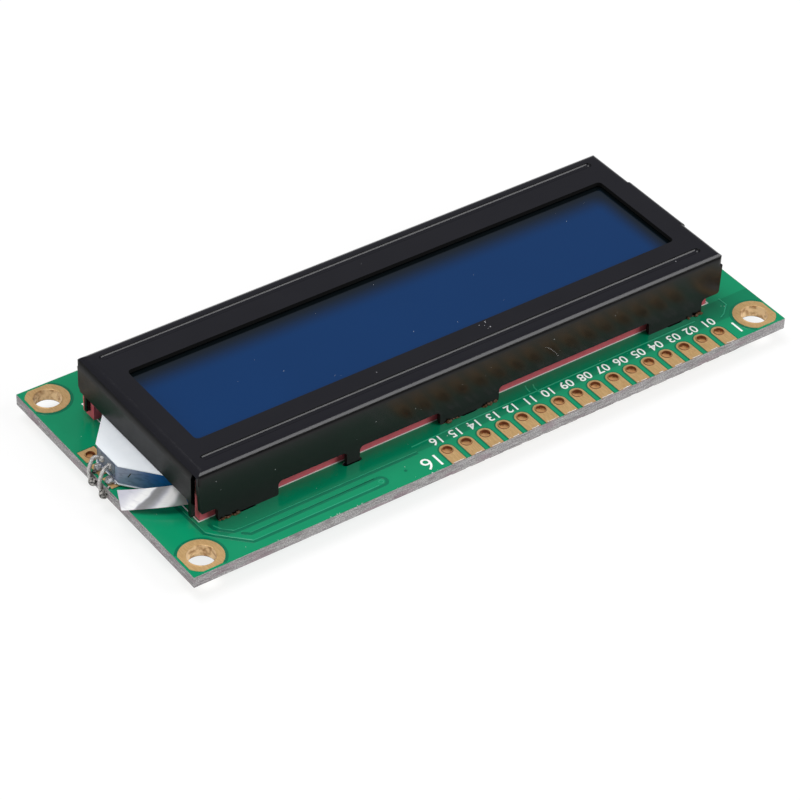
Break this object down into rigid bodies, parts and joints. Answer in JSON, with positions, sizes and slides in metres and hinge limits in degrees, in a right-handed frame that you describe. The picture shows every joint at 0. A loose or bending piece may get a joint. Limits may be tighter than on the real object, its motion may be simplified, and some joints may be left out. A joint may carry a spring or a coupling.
{
  "type": "character lcd module",
  "caption": "Character LCD module: a printed board with corner mounting holes and a header row, carrying a blue display in a black stamped steel bezel with an edge-lit backlight.",
  "frame": {"origin": "centre of the four mounting holes, on the rear face of the board", "axes": "+X along the lines of text towards the backlight's tongue, +Y up the screen towards the header row, +Z out of the screen"},
  "size_m": [0.0807, 0.036, 0.0104],
  "materials": {
    "board": "gloss solder mask over glass-fibre laminate",
    "gold_plating": "gold plated copper",
    "bezel_paint": "black satin over steel",
    "cell_glass": "polished",
    "adhesive": "matte resin",
    "display_film": "gloss blue polarizing film",
    "rear_film": "gloss",
    "pink_elastomer": "matte silicone",
    "clear_guide": "clear moulded acrylic",
    "white_film": "matte white",
    "silver_foil": "silvered film",
    "lamp_body": "white moulding",
    "tin": "tinned",
    "black_resin": "satin epoxy",
    "black_ceramic": "glazed",
    "tan_ceramic": "matte"
  },
  "bodies": {
    "root": {"pcb": "board", "mounting_pads": "gold_plating", "header_pads": "gold_plating", "backlight_pads": "gold_plating", "bezel": "bezel_paint", "front_glass": "cell_glass", "rear_glass": "cell_glass", "cell_seal": "adhesive", "fill_port_plug": "adhesive", "front_polarizer": "display_film", "rear_polarizer": "rear_film", "elastomer_strip_front": "pink_elastomer", "elastomer_strip_header": "pink_elastomer", "light_guide": "clear_guide", "diffuser_sheet": "white_film", "tongue_film": "white_film", "bottom_reflector": "white_film", "backlight_tape": "adhesive", "side_foil": "silver_foil", "backlight_led": "lamp_body", "led_terminals": "tin", "led_lead_1": "tin", "led_lead_2": "tin", "lead_joints": "tin", "controller_dome": "black_resin", "driver_dome": "black_resin", "chip_resistors": "black_ceramic", "chip_capacitors": "tan_ceramic", "chip_end_caps": "tin"}
  },
  "joints": []
}
